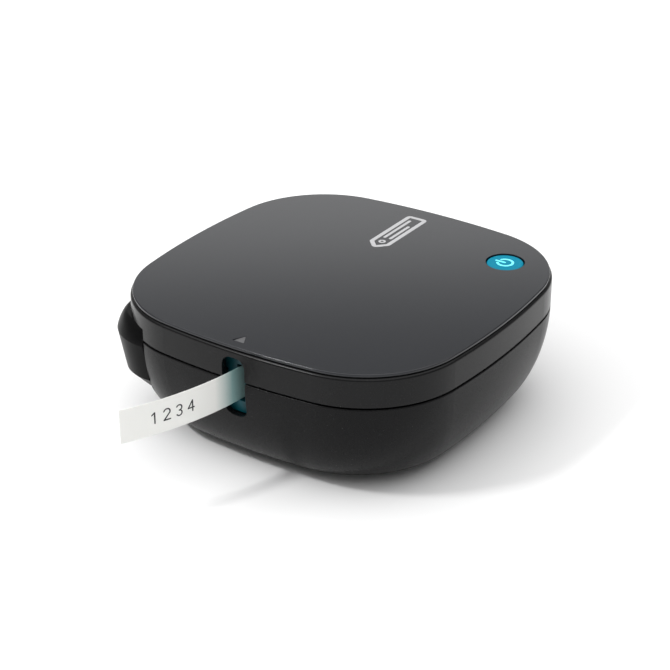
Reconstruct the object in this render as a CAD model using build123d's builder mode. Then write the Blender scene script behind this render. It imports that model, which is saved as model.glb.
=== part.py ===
from build123d import *
import os
from math import asin, atan2, cos, degrees, hypot, pi, radians, sin, sqrt

os.makedirs("parts", exist_ok=True)

# Desktop label maker.  Millimetres.  +X is the user's right, +Y is the back, +Z is up.
# The origin is the centre of the underside, in the plane that the feet stand on.

# Outline of the case: a square whose sides bow outwards, joined by large tangent corners.
body_half = 64.5            # centre to the middle of a side
side_radius = 259.0         # bow of each side
corner_radius = 37.5        # plan radius of each corner
total_height = 48.0         # feet to the top of the glossy plate
foot_height = 0.8           # how far the feet stand out of the underside
wall = 2.0                  # case wall, floor included
parting_drop = 12.0         # top of the plate down to the joint between lid and base
parting_gap = 0.6           # height of that joint's groove
parting_round = 0.35        # rounding of the two edges beside it
bowl_tuck = 21.8            # how far the sides run in before the flat underside
bowl_power_side = 2.74      # superellipse powers of the bowl's profile
bowl_power_depth = 1.853
bowl_corner_gain = 10.81    # what the corner radius gains on the way down, at full width

plate_inset = 0.8           # lid wall to the edge of the glossy plate
plate_thick = 0.85
plate_groove = 0.45         # shadow gap below the plate's edge
plate_seat_inset = 1.9
panel_thick = 1.6           # roof of the lid below the plate
shoulder = 1.0              # rounding at the top of the lid's wall
lip_height = 2.1            # inner lip of the base above its rim
lip_thick = 1.2
lip_gap = 0.2

# Arrow mark sunk into the plate beside the slot.
mark_inset = 4.5            # left wall to the arrow's base
mark_length = 4.5
mark_half = 2.3
mark_y = 0.9
mark_depth = 0.35

# Label slot in the left wall.
slot_width = 9.0
slot_height = 22.0
slot_centre_y = -0.15
slot_drop = 3.7             # top of the plate down to the top of the slot
slot_corner = 3.5

# Tape and cassette.
tape_width = 12.0
tape_thick = 0.18
tape_line_y = -0.5          # centre of the tape where it runs straight
tape_top_drop = 8.7         # top of the plate down to the tape's upper edge
curl_radius = 110.0         # curl of the printed end outside the case
curl_inset = 14.5           # where the curl starts, in from the left wall
tape_reach = 40.2           # how far the printed end stands out of the left wall
roll_radius = 20.2
core_radius = 7.0
core_bore = 5.0
run_gap = 0.05              # radial running clearance of shafts and posts
roll_x = 4.0
roll_clear = 1.7            # roll to the cassette's walls
case_front = -10.0
case_corner = 6.0
case_wall = 1.2
bay_gap = 0.5               # cassette to the walls of its bay
bay_wall = 1.4
head_gap = 12.0             # platen axis to the cassette

# Power button near the front right corner.
button_inset = 23.5         # from the right and front walls to its centre
button_radius = 6.5
button_gap = 0.4            # button to the edge of its hole
button_sink = 0.3           # below the plate's top
button_travel = 0.8
flange_width = 0.9          # rim that keeps the button in its hole
cup_gap = 1.2               # flange to the inside and wall of the cup, together
cup_wall = 0.9
cup_depth = 6.5
stem_radius = 2.0

# Cutter at the back left corner: a pad that turns about an upright pivot and pushes the blade.
window_front_inset = 23.5   # back wall to the front edge of the window
window_right_inset = 27.0   # left wall to its right edge
window_bottom_z = 13.5
window_top_drop = 7.2
window_corner = 4.7
pad_left_inset = 4.7        # left wall to the pad's left face
pad_back_inset = 1.6
pad_gap = 0.45              # pad to the front edge of its window
pad_side_gap = 0.7
swing_gap = 0.35            # pad to the arc-shaped edge that it swings past
pad_corner = 20.0
pad_wall = 1.8
pad_foot_z = 13.9           # bottom of the chamfer under the pad
pad_foot_inset = 8.4
pad_slant_z = 20.0          # bottom of the slanted face
pad_slant_inset = 2.6
pad_crease_z = 34.0         # widest level
pad_shoulder_round = 2.6    # inset of the shoulder's round part
pad_shoulder_lean = 1.6     # and of its lean, which makes the crease
pivot_inset = 11.8          # left wall to the pivot
pivot_setback = 1.6         # front edge of the window to the pivot
pivot_radius = 1.2
lug_radius = 2.0
tongue_radius = 1.9
pad_swing = 10.0            # degrees
nose_arm = 12.5             # pivot to where the pad touches the carriage
nose_radius = 1.5
carriage_wall = 2.2

# Drive: motor, compound idler and platen gear on upright shafts.
gear_module = 0.6
pressure_angle = 25.0
tooth_backlash = 0.12
pinion_teeth = 10
idler_large_teeth = 36
idler_small_teeth = 12
platen_teeth = 28
platen_inset = 20.5         # left wall to the platen's axis
platen_radius = 5.0
platen_shaft = 1.5
idler_angle = -75.0         # direction from platen to idler
motor_angle = -92.0         # direction from idler to motor
axle_radius = 1.0
motor_radius = 6.0
motor_length = 11.0
rotor_shaft = 0.75

# Battery bay.
cell_radius = 7.2
cell_length = 48.7
nub_radius = 2.7
nub_length = 1.3
cell_gap = 0.4
cell_count = 4
tray_wall = 1.4
tray_roof = 1.2
board_stand = 1.0           # height of the board above the tray
spring_length = 5.4
contact_thick = 0.5
door_thick = 1.8
door_gap = 0.3
trunnion_radius = 0.55

# Hinge at the back.
knuckle_radius = 1.6
hinge_pin_radius = 0.8
hinge_y = body_half + 0.7
knuckle_half = 10.0
hinge_half = 17.0
hinge_gap = 0.3             # between the knuckles, and from knuckle to case

# Feet and screws.
foot_radius = 4.8
foot_x, foot_y = 36.4, 18.5
foot_sink = 1.0
post_x, post_y = 19.0, 35.5
post_radius = 3.0
boss_height = 3.2           # boss on the floor that each chassis post stands on
screw_radius = 1.1
screw_head = 2.6
screw_well = 2.8            # underside to the seat of the screw's head
screw_bite = 9.3            # how far the screw reaches into the post

# Chassis.
deck_inset = 4.2            # wall of the case to the edge of the deck
fascia_gap = 2.1            # inside of the case wall to the face behind the slot
fascia_thick = 1.1
fascia_front, fascia_back = -13.0, 11.0
tower_margin = 2.5          # platen roller to the outside of its tower
tower_wall = 1.4
arm_thick = 1.8
bushing_radius = 2.6
guide_front, guide_back = 12.0, 23.0    # guide of the cutter's carriage
carriage_back = 28.0
spring_seat_y = 24.0

# Gear plate and circuit boards.
plate_sheet = 0.8
plate_front, plate_back = -42.0, 5.5
plate_screw = 0.7
gear_width = 1.8
switch_half_x, switch_half_y = 8.0, 7.5
switch_height = 3.4
board_left_x, board_right_x = -26.0, 44.0
board_thickness = 1.6
board_screw = 0.9

# Levels that follow from the sizes above.
floor_z = foot_height
floor_top = floor_z + wall
parting_z = total_height - parting_drop
rim_z = parting_z - parting_gap / 2
lid_z = parting_z + parting_gap / 2
lid_top = total_height - plate_thick - plate_groove
panel_z = lid_top - panel_thick
tape_z = total_height - tape_top_drop - tape_width
tape_top = tape_z + tape_width
deck_top = tape_z - 1.6
deck_thick = 1.5
deck_z = deck_top - deck_thick

# Places that follow from the sizes above.
curl_start_x = curl_inset - body_half
tape_end_x = -body_half - tape_reach
tape_gap = 0.1              # tape to the roll and to the roller
roll_y = tape_line_y + tape_thick / 2 + tape_gap + roll_radius
platen_x = platen_inset - body_half
platen_y = tape_line_y - tape_thick / 2 - tape_gap - platen_radius
case_left, case_right = platen_x + head_gap, roll_x + roll_radius + roll_clear + case_wall
case_back = roll_y + roll_radius + roll_clear + case_wall
button_x, button_y = body_half - button_inset, button_inset - body_half
button_hole = button_radius + button_gap
flange_radius = button_radius + flange_width
cup_radius = flange_radius + cup_gap
cell_pitch = 2 * cell_radius + cell_gap
window_front_y = body_half - window_front_inset
window_right_x = window_right_inset - body_half
pad_front_y = window_front_y + pad_gap
pad_left_x = pad_left_inset - body_half
pad_right_x = window_right_x - pad_side_gap
pad_back_y = body_half - pad_back_inset
pivot_x = pivot_inset - body_half
pivot_y = window_front_y - pivot_setback
nose_x = pivot_x + nose_arm
cutter_stroke = nose_arm * radians(pad_swing)
side_shift = side_radius - body_half
corner_centre = (sqrt(2 * (side_radius - corner_radius) ** 2 - side_shift**2) - side_shift) / 2
window_wall_y = corner_centre + sqrt(corner_radius**2 - (window_right_x + corner_centre) ** 2)
swing_radius = hypot(window_right_x - pivot_x, window_wall_y - pivot_y)
swing_limit_x = pad_right_x + 4.2   # the pad never reaches further right than this
outside = body_half + 10            # clear of the case on every side
case_posts = [(i * post_x, j * post_y) for j in (1, -1) for i in (1, -1)]
foot_places = [(i * foot_x, j * foot_y) for j in (1, -1) for i in (1, -1)]


def outline(z, half, side, corner):
    """Bowed square at height z: four side arcs and four corner arcs, all tangent."""
    shift = side - half
    centre = (sqrt(2 * (side - corner) ** 2 - shift**2) - shift) / 2
    sweep = degrees(atan2(centre, centre + shift))
    with BuildSketch(Plane.XY.offset(z)) as section:
        with BuildLine():
            for quarter in range(4):
                turn = radians(90 * quarter)
                across, along = cos(turn), sin(turn)
                CenterArc((-shift * across, -shift * along), side, 90 * quarter - sweep, 2 * sweep)
                x = centre * (across - along)
                y = centre * (across + along)
                CenterArc((x, y), corner, 90 * quarter + sweep, 90 - 2 * sweep)
        make_face()
    return section.sketch.face()


def inset_outline(z, inset):
    """The case outline, moved in by the same distance all round."""
    return outline(z, body_half - inset, side_radius - inset, corner_radius - inset)


def bowl_sections(top_z, bottom_z, inset):
    """Sections of the bowl: a superellipse from the vertical wall to the flat underside."""
    sections = []
    for step in range(10):
        angle = step * pi / 18
        run = 1 - max(cos(angle), 0) ** (2 / bowl_power_side)
        drop = sin(angle) ** (2 / bowl_power_depth)
        half = body_half - inset - bowl_tuck * run
        corner = (corner_radius + bowl_corner_gain * run) * half / body_half
        z = top_z - (top_z - bottom_z) * drop
        sections.append(outline(z, half, side_radius / body_half * half, corner))
    return sections


def block(x, y, z, mode=Mode.ADD):
    """Box over three ranges, joined to or cut from the part being built."""
    with Locations(((x[0] + x[1]) / 2, (y[0] + y[1]) / 2, (z[0] + z[1]) / 2)):
        Box(x[1] - x[0], y[1] - y[0], z[1] - z[0], mode=mode)


def rod(x, y, z, radius, mode=Mode.ADD):
    """Upright cylinder over the range z."""
    with Locations((x, y, (z[0] + z[1]) / 2)):
        Cylinder(radius, z[1] - z[0], mode=mode)


def rod_x(x, y, z, radius, mode=Mode.ADD):
    """Cylinder along X over the range x."""
    with Locations(((x[0] + x[1]) / 2, y, z)):
        Cylinder(radius, x[1] - x[0], rotation=(0, 90, 0), mode=mode)


def rod_y(x, y, z, radius, mode=Mode.ADD):
    """Cylinder along Y over the range y."""
    with Locations((x, (y[0] + y[1]) / 2, z)):
        Cylinder(radius, y[1] - y[0], rotation=(90, 0, 0), mode=mode)


def coil(radius, wire, length, turns, base):
    """Open coil spring that stands on the plane base; its ends are cut flat."""
    pitch = (length - 2 * wire) / turns
    path = Helix(pitch, length - 2 * wire, radius)
    start = Plane(origin=path @ 0, z_dir=path % 0)
    with BuildSketch(start) as section:
        Circle(wire)
    with BuildPart(mode=Mode.PRIVATE) as spring:
        sweep(section.sketch, path=path)
    return base * Pos(0, 0, wire) * spring.part


# ---------------------------------------------------------------- case

corner_window_top = total_height - window_top_drop

with BuildPart() as corner_window:
    block((-outside, window_right_x), (window_front_y, outside), (0, corner_window_top))
    top_edges = corner_window.edges().group_by(Axis.Z)[-1]
    fillet(top_edges.sort_by(Axis.Y)[0], window_corner)

# Room for the free end of the pad, which swings on an arc about the pivot.
with BuildPart() as swing_room:
    block((-outside, swing_limit_x), (window_front_y, outside),
          (window_bottom_z, corner_window_top))
    rod(pivot_x, pivot_y, (0, total_height), swing_radius, Mode.INTERSECT)

with BuildPart() as slot_tool:
    with BuildSketch(Plane.YZ.offset(-body_half - 5)):
        with Locations((slot_centre_y, total_height - slot_drop - slot_height / 2)):
            RectangleRounded(slot_width, slot_height, slot_corner)
    extrude(amount=5 + wall + lip_gap + lip_thick + 1)

bay_half_x = cell_pitch * cell_count / 2 + 0.6
bay_half_y = (cell_length + nub_length + spring_length + 2 * contact_thick) / 2
hinge_z = parting_z
door_mid = floor_z + 0.1 + door_thick / 2
door_axis_y = -bay_half_y + 0.2 + door_thick / 2

with BuildPart() as base_shell:
    loft(bowl_sections(rim_z, floor_z, 0))
    fillet(base_shell.edges().group_by(Axis.Z)[-1], parting_round)
    loft(bowl_sections(rim_z + 0.01, floor_top, wall), mode=Mode.SUBTRACT)
    lip_inner = wall + lip_gap + lip_thick
    extrude(inset_outline(rim_z - 3.2, 1.2), amount=3.2)
    extrude(inset_outline(rim_z, wall + lip_gap), amount=lip_height)
    extrude(inset_outline(rim_z - 3.3, lip_inner), amount=3.4 + lip_height, mode=Mode.SUBTRACT)
    for x, y in case_posts:
        rod(x, y, (floor_z, floor_top + boss_height), post_radius + 0.6)
        rod(x, y, (floor_z - 1, floor_top + 4), screw_radius + 0.1, mode=Mode.SUBTRACT)
        rod(x, y, (floor_z - 1, floor_z + screw_well), screw_head + 0.3, mode=Mode.SUBTRACT)
    for x, y in foot_places:
        rod(x, y, (floor_z - 1, floor_z + foot_sink), foot_radius, mode=Mode.SUBTRACT)
    block((-bay_half_x, bay_half_x), (-bay_half_y, bay_half_y), (floor_z - 1, floor_top + 1), Mode.SUBTRACT)
    reach = bay_half_x + 1.3
    rod_x((-reach, reach), door_axis_y, door_mid, trunnion_radius + run_gap, mode=Mode.SUBTRACT)
    add(slot_tool.part, mode=Mode.SUBTRACT)
    block((-outside, window_right_x), (window_front_y, outside),
          (window_bottom_z, total_height), Mode.SUBTRACT)
    add(swing_room.part, mode=Mode.SUBTRACT)
    knuckle_room = knuckle_radius + hinge_gap
    rod_x((-hinge_half - hinge_gap, -knuckle_half), hinge_y, hinge_z, knuckle_room, mode=Mode.SUBTRACT)
    rod_x((knuckle_half, hinge_half + hinge_gap), hinge_y, hinge_z, knuckle_room, mode=Mode.SUBTRACT)
    rod_x((-knuckle_half, knuckle_half), hinge_y, hinge_z, knuckle_radius)
    block((-knuckle_half, knuckle_half), (body_half - wall + 0.4, hinge_y),
          (hinge_z - knuckle_radius, rim_z))
    rod_x((-knuckle_half - 1, knuckle_half + 1), hinge_y, hinge_z, hinge_pin_radius + run_gap,
          mode=Mode.SUBTRACT)
base_shell.part.label = "base_shell"
export_step(base_shell.part, "parts/base_shell.step")

with BuildPart() as lid_shell:
    extrude(inset_outline(lid_z, 0), amount=lid_top - lid_z)
    fillet(lid_shell.edges().group_by(Axis.Z)[-1], shoulder)
    fillet(lid_shell.edges().group_by(Axis.Z)[0], parting_round)
    extrude(inset_outline(lid_z, wall), amount=panel_z - lid_z, mode=Mode.SUBTRACT)
    add(slot_tool.part, mode=Mode.SUBTRACT)
    add(corner_window.part, mode=Mode.SUBTRACT)
    add(swing_room.part, mode=Mode.SUBTRACT)
    rod(button_x, button_y, (panel_z - 1, lid_top + 1), button_hole, mode=Mode.SUBTRACT)
    rod_x((-knuckle_half - hinge_gap, knuckle_half + hinge_gap), hinge_y, hinge_z,
          knuckle_radius + hinge_gap, mode=Mode.SUBTRACT)
    for side in (-1, 1):
        span = sorted((side * (knuckle_half + hinge_gap), side * hinge_half))
        rod_x(span, hinge_y, hinge_z, knuckle_radius)
        block(span, (body_half - wall + 0.4, hinge_y), (lid_z, hinge_z + knuckle_radius))
        rod_x(span, hinge_y, hinge_z, hinge_pin_radius, mode=Mode.SUBTRACT)
lid_shell.part.label = "lid_shell"
export_step(lid_shell.part, "parts/lid_shell.step")

with BuildPart() as top_plate:
    extrude(inset_outline(total_height - plate_thick, plate_inset), amount=plate_thick)
    fillet(top_plate.edges().group_by(Axis.Z)[-1], 0.35)
    extrude(inset_outline(lid_top, plate_seat_inset), amount=plate_groove)
    rod(button_x, button_y, (lid_top - 1, total_height + 1), button_hole, mode=Mode.SUBTRACT)
    with BuildSketch(Plane.XY.offset(total_height)):
        with BuildLine():
            base_x, tip_x = mark_inset - body_half, mark_inset - body_half + mark_length
            Polyline((base_x, mark_y - mark_half), (base_x, mark_y + mark_half), (tip_x, mark_y), close=True)
        make_face()
    extrude(amount=-mark_depth, mode=Mode.SUBTRACT)
top_plate.part.label = "top_plate"
export_step(top_plate.part, "parts/top_plate.step")

with BuildPart() as hinge_pin:
    rod_x((-hinge_half, hinge_half), hinge_y, hinge_z, hinge_pin_radius)
hinge_pin.part.label = "hinge_pin"
export_step(hinge_pin.part, "parts/hinge_pin.step")

with BuildPart() as rubber_feet:
    for x, y in foot_places:
        rod(x, y, (0, floor_z + foot_sink), foot_radius)
    fillet(rubber_feet.edges().group_by(Axis.Z)[0], 0.4)
rubber_feet.part.label = "rubber_feet"
export_step(rubber_feet.part, "parts/rubber_feet.step")

# ---------------------------------------------------------------- power button

cup_z = panel_z - cup_depth
flange_top = panel_z - 0.2
flange_z = flange_top - 1.0
plunger_top = cup_z - button_travel - 0.1
stem_z = plunger_top + button_travel + 0.1

with BuildPart() as power_button:
    rod(button_x, button_y, (flange_z, total_height - button_sink), button_radius)
    fillet(power_button.edges().group_by(Axis.Z)[-1], 0.5)
    rod(button_x, button_y, (flange_z, flange_top), flange_radius)
    rod(button_x, button_y, (stem_z, flange_z), stem_radius)
power_button.part.label = "power_button"
export_step(power_button.part, "parts/power_button.step")

with BuildPart() as button_cup:
    rod(button_x, button_y, (cup_z, panel_z), cup_radius)
    rod(button_x, button_y, (cup_z + 1.0, panel_z + 1), cup_radius - cup_wall, mode=Mode.SUBTRACT)
    rod(button_x, button_y, (cup_z - 1, cup_z + 2), stem_radius + 0.3, mode=Mode.SUBTRACT)
button_cup.part.label = "button_cup"
export_step(button_cup.part, "parts/button_cup.step")

with BuildPart() as button_spring:
    add(coil(3.6, 0.3, flange_z - cup_z - 1.0, 3, Plane((button_x, button_y, cup_z + 1.0))))
button_spring.part.label = "button_spring"
export_step(button_spring.part, "parts/button_spring.step")

board_thick = 1.4
switch_z = plunger_top - 0.6 - switch_height

with BuildPart() as switch_board:
    block((button_x - switch_half_x, button_x + switch_half_x),
          (button_y - switch_half_y, button_y + switch_half_y), (switch_z - board_thick, switch_z))
switch_board.part.label = "switch_board"
export_step(switch_board.part, "parts/switch_board.step")

with BuildPart() as tact_switch:
    block((button_x - 3, button_x + 3), (button_y - 3, button_y + 3), (switch_z, switch_z + switch_height))
    rod(button_x, button_y, (switch_z + switch_height, plunger_top), 1.7)
tact_switch.part.label = "tact_switch"
export_step(tact_switch.part, "parts/tact_switch.step")

# ---------------------------------------------------------------- inner chassis

idler_distance = gear_module * (platen_teeth + idler_small_teeth) / 2
motor_distance = gear_module * (idler_large_teeth + pinion_teeth) / 2
idler_x = platen_x + idler_distance * cos(radians(idler_angle))
idler_y = platen_y + idler_distance * sin(radians(idler_angle))
motor_x = idler_x + motor_distance * cos(radians(motor_angle))
motor_y = idler_y + motor_distance * sin(radians(motor_angle))

gear_top = deck_z - 0.4
small_gear_z = gear_top - 2.0
large_gear_z = small_gear_z - gear_width
gear_plate_top = large_gear_z - 0.5
gear_plate_z = gear_plate_top - plate_sheet
tray_top = floor_top + 0.4 + 2 * cell_radius + 0.8 + tray_roof
board_z = tray_top + board_stand
arm_z = tape_top + 1.1
arm_top = arm_z + arm_thick
plate_posts = ((platen_x + 8.0, 3.0), (platen_x - 6.0, -32.0), (platen_x + 7.5, -39.5))
fascia_x = -(body_half - wall - fascia_gap)
blade_x = fascia_x + 1.4
spring_x = nose_x - 3.4
screw_tip = floor_top + boss_height + screw_bite
head_face_y = tape_line_y + tape_thick / 2 + tape_gap
sink_back_y = 2.9
switch_posts = ((button_x - 5.5, button_y - 5), (button_x + 5.5, button_y + 5))

with BuildPart() as inner_chassis:
    extrude(inset_outline(deck_z, deck_inset), amount=deck_thick)
    front_sweep = (pad_right_x - pivot_x) * sin(radians(pad_swing)) + 1.0
    block((-outside, swing_limit_x), (pad_front_y - front_sweep, outside),
          (0, total_height), Mode.SUBTRACT)
    # Tongue that holds the pad's pivot.
    block((pivot_x - tongue_radius, pivot_x + tongue_radius), (pad_front_y - front_sweep - 2, pivot_y),
          (deck_z, deck_top))
    rod(pivot_x, pivot_y, (deck_z, deck_top), tongue_radius)
    rod(pivot_x, pivot_y, (deck_z, deck_top), pivot_radius, mode=Mode.SUBTRACT)
    # Walls of the cassette bay, open at the left where the tape leaves.
    bay = bay_gap + bay_wall
    block((case_left - bay, case_right + bay), (case_front - bay, case_back + bay),
          (deck_top, tape_top - 3))
    block((case_left - bay_gap, case_right + bay_gap), (case_front - bay_gap, case_back + bay_gap),
          (deck_top, tape_top), Mode.SUBTRACT)
    block((case_left - 2, case_left), (case_front - 2, 7), (deck_top, tape_top), Mode.SUBTRACT)
    # Face behind the label slot, with the slit that the tape comes out of.
    block((fascia_x, fascia_x + fascia_thick), (fascia_front, fascia_back),
          (tape_z - 4.8, total_height - slot_drop))
    block((fascia_x - 1, fascia_x + 2), (tape_line_y - 1.2, tape_line_y + 1.6),
          (tape_z - 0.7, tape_top + 0.7), Mode.SUBTRACT)
    block((fascia_x, fascia_x + 4), (fascia_front, fascia_front + 1.2), (deck_top, tape_top - 2))
    # Tower around the platen roller.
    tower = platen_radius + tower_margin
    tower_x = (platen_x - tower, platen_x + tower)
    tower_front = platen_y - tower + 0.6
    block(tower_x, (tower_front, tower_front + tower_wall), (deck_top, arm_top))
    for side in (-1, 1):
        cheek = sorted((platen_x + side * tower, platen_x + side * (tower - tower_wall)))
        block(cheek, (tower_front, platen_y), (deck_top, arm_top))
    block(tower_x, (tower_front, platen_y + bushing_radius + 1), (arm_z, arm_top))
    # Wall that the print head is screwed to.
    block((platen_x - 6, platen_x + 6), (sink_back_y, sink_back_y + 2.3), (deck_top, tape_top - 1))
    # Guide for the cutter's carriage, and the post of its spring.
    block((blade_x + 2.8, blade_x + 4.0), (guide_front, guide_back), (deck_top, tape_top - 3))
    block((spring_x - 4, spring_x + 4), (spring_seat_y - 2, spring_seat_y), (deck_top, tape_top - 3))
    for x, y in switch_posts:
        rod(x, y, (deck_top, switch_z - board_thick), 2.2)
    for x, y in case_posts:
        rod(x, y, (floor_top + boss_height, deck_z), post_radius)
        rod(x, y, (floor_top + boss_height, screw_tip + 0.5), screw_radius, mode=Mode.SUBTRACT)
    for x, y in plate_posts:
        rod(x, y, (gear_plate_top, deck_z), 2.0)
        rod(x, y, (gear_plate_top, deck_z), plate_screw, mode=Mode.SUBTRACT)
    rod(idler_x, idler_y, (deck_z, deck_top), axle_radius, mode=Mode.SUBTRACT)
    rod(platen_x, platen_y, (deck_z, arm_top), bushing_radius, mode=Mode.SUBTRACT)
inner_chassis.part.label = "inner_chassis"
export_step(inner_chassis.part, "parts/inner_chassis.step")

with BuildPart() as platen_bushings:
    rod(platen_x, platen_y, (deck_z, deck_top), bushing_radius)
    rod(platen_x, platen_y, (arm_z, arm_top), bushing_radius)
    rod(platen_x, platen_y, (deck_z, arm_top), platen_shaft + run_gap, mode=Mode.SUBTRACT)
platen_bushings.part.label = "platen_bushings"
export_step(platen_bushings.part, "parts/platen_bushings.step")

with BuildPart() as case_screws:
    for x, y in case_posts:
        rod(x, y, (floor_z + 0.8, floor_z + screw_well), screw_head)
        rod(x, y, (floor_z + screw_well, screw_tip), screw_radius)
        block((x - 1.6, x + 1.6), (y - 0.3, y + 0.3), (floor_z + 0.7, floor_z + 1.6), Mode.SUBTRACT)
        block((x - 0.3, x + 0.3), (y - 1.6, y + 1.6), (floor_z + 0.7, floor_z + 1.6), Mode.SUBTRACT)
case_screws.part.label = "case_screws"
export_step(case_screws.part, "parts/case_screws.step")

# ---------------------------------------------------------------- tape and cassette

with BuildPart() as label_tape:
    with BuildSketch(Plane.XY.offset(tape_z)):
        edge = tape_thick / 2
        centre = (curl_start_x, tape_line_y + curl_radius)
        curl = degrees(asin((curl_start_x - tape_end_x) / curl_radius))
        with BuildLine():
            far = CenterArc(centre, curl_radius + edge, 270, -curl)
            near = CenterArc(centre, curl_radius - edge, 270, -curl)
            Line(far @ 1, near @ 1)
            start = Line(far @ 0, (roll_x, tape_line_y - edge))
            tail = Line(start @ 1, (roll_x, tape_line_y + edge))
            Line(tail @ 1, near @ 0)
        make_face()
    extrude(amount=tape_width)
label_tape.part.label = "label_tape"
export_step(label_tape.part, "parts/label_tape.step")

with BuildPart() as tape_roll:
    rod(roll_x, roll_y, (tape_z, tape_top), roll_radius)
    rod(roll_x, roll_y, (tape_z, tape_top), core_radius, mode=Mode.SUBTRACT)
tape_roll.part.label = "tape_roll"
export_step(tape_roll.part, "parts/tape_roll.step")

with BuildPart() as roll_core:
    rod(roll_x, roll_y, (tape_z, tape_top), core_radius)
    rod(roll_x, roll_y, (tape_z, tape_top), core_bore, mode=Mode.SUBTRACT)
    for spoke in range(6):
        angle = radians(60 * spoke)
        rod(roll_x + 6 * cos(angle), roll_y + 6 * sin(angle), (tape_top - 3, tape_top), 0.5,
            mode=Mode.SUBTRACT)
roll_core.part.label = "roll_core"
export_step(roll_core.part, "parts/roll_core.step")

case_mid_x, case_mid_y = (case_left + case_right) / 2, (case_front + case_back) / 2
case_size_x, case_size_y = case_right - case_left, case_back - case_front
case_floor = tape_z - 0.3
case_rim = tape_top + 0.4

with BuildPart() as cassette_base:
    with BuildSketch(Plane.XY.offset(deck_top + 0.1)):
        with Locations((case_mid_x, case_mid_y)):
            RectangleRounded(case_size_x, case_size_y, case_corner)
    extrude(amount=case_rim - deck_top - 0.1)
    with BuildSketch(Plane.XY.offset(case_floor)):
        with Locations((case_mid_x, case_mid_y)):
            RectangleRounded(case_size_x - 2 * case_wall, case_size_y - 2 * case_wall,
                             case_corner - case_wall)
    extrude(amount=20, mode=Mode.SUBTRACT)
    rod(roll_x, roll_y, (case_floor, tape_top + 0.1), core_bore - run_gap)
    rod(roll_x, roll_y, (case_floor + 1, tape_top + 1), 2.5, mode=Mode.SUBTRACT)
    block((case_left - 1, case_left + 2), (tape_line_y - 1.1, tape_line_y + 1.1), (case_floor, case_rim + 1),
          Mode.SUBTRACT)
    rod(case_left + 5, tape_line_y - 2.2, (case_floor, case_rim - 0.2), 1.2)
cassette_base.part.label = "cassette_base"
export_step(cassette_base.part, "parts/cassette_base.step")

with BuildPart() as cassette_cover:
    with BuildSketch(Plane.XY.offset(case_rim)):
        with Locations((case_mid_x, case_mid_y)):
            RectangleRounded(case_size_x, case_size_y, case_corner)
        with Locations((roll_x, roll_y)):
            Circle(core_bore, mode=Mode.SUBTRACT)
        with Locations((roll_x + 13.5, roll_y)):
            SlotOverall(11, 5, mode=Mode.SUBTRACT)
    extrude(amount=case_wall)
    upper_edges = cassette_cover.edges().filter_by(GeomType.LINE).group_by(Axis.Z)[-1]
    fillet(upper_edges.group_by(Edge.length)[-1], 0.4)
cassette_cover.part.label = "cassette_cover"
export_step(cassette_cover.part, "parts/cassette_cover.step")

# ---------------------------------------------------------------- print head and drive

with BuildPart() as print_head:
    block((platen_x - 5, platen_x + 5), (head_face_y + 0.15, head_face_y + 1.0),
          (tape_z - 0.5, tape_top + 0.9))
    block((platen_x - 1, platen_x + 1), (head_face_y, head_face_y + 0.5), (tape_z + 0.5, tape_top - 0.5))
print_head.part.label = "print_head"
export_step(print_head.part, "parts/print_head.step")

with BuildPart() as heat_sink:
    block((platen_x - 6, platen_x + 6), (head_face_y + 1.0, sink_back_y), (deck_top + 0.4, tape_top + 1.3))
    for z in (tape_top, tape_top - 2, tape_top - 4):
        block((platen_x - 7, platen_x + 7), (head_face_y + 1.4, sink_back_y - 0.4), (z, z + 0.8))
heat_sink.part.label = "heat_sink"
export_step(heat_sink.part, "parts/heat_sink.step")

with BuildPart() as platen_shaft_pin:
    rod(platen_x, platen_y, (small_gear_z + 0.2, arm_top + 0.4), platen_shaft)
platen_shaft_pin.part.label = "platen_shaft"
export_step(platen_shaft_pin.part, "parts/platen_shaft.step")

with BuildPart() as platen_roller:
    rod(platen_x, platen_y, (tape_z - 0.3, tape_top + 0.3), platen_radius)
    rod(platen_x, platen_y, (tape_z - 0.3, tape_top + 0.3), platen_shaft, mode=Mode.SUBTRACT)
platen_roller.part.label = "platen_roller"
export_step(platen_roller.part, "parts/platen_roller.step")


def gear_face(z, teeth, first_angle):
    """Spur gear with arc flanks through three points of the involute, teeth trimmed short."""
    pitch = gear_module * teeth / 2
    base = pitch * cos(radians(pressure_angle))
    tip = pitch + 0.8 * gear_module
    root = pitch - 1.05 * gear_module

    def spread(radius):
        # Half the tooth's angle at a radius, from the involute function.
        def involute(r):
            roll = sqrt(max((r / base) ** 2 - 1, 0))
            return roll - atan2(roll, 1)
        at_pitch = pi / (2 * teeth) - tooth_backlash / (2 * pitch)
        return at_pitch + involute(pitch) - involute(max(radius, base))

    def point(radius, angle):
        return radius * cos(angle), radius * sin(angle)

    low = max(root, base)
    middle = (low + tip) / 2
    with BuildSketch(Plane.XY.offset(z)) as section:
        with BuildLine():
            for tooth in range(teeth):
                angle = radians(first_angle) + 2 * pi * tooth / teeth
                after = angle + 2 * pi / teeth
                ThreePointArc(point(low, angle - spread(low)), point(middle, angle - spread(middle)),
                              point(tip, angle - spread(tip)))
                Line(point(tip, angle - spread(tip)), point(tip, angle + spread(tip)))
                ThreePointArc(point(tip, angle + spread(tip)), point(middle, angle + spread(middle)),
                              point(low, angle + spread(low)))
                if root < low:
                    Line(point(low, angle + spread(low)), point(root, angle + spread(low)))
                    Line(point(root, after - spread(low)), point(low, after - spread(low)))
                Line(point(root, angle + spread(low)), point(root, after - spread(low)))
        make_face()
    return section.sketch.face()


with BuildPart() as platen_gear:
    extrude(gear_face(0, platen_teeth, idler_angle), amount=gear_width)
    Cylinder(platen_shaft, 10, mode=Mode.SUBTRACT)
platen_gear.part.locate(Location((platen_x, platen_y, small_gear_z + 0.2)))
platen_gear.part.label = "platen_gear"
export_step(platen_gear.part, "parts/platen_gear.step")

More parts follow.
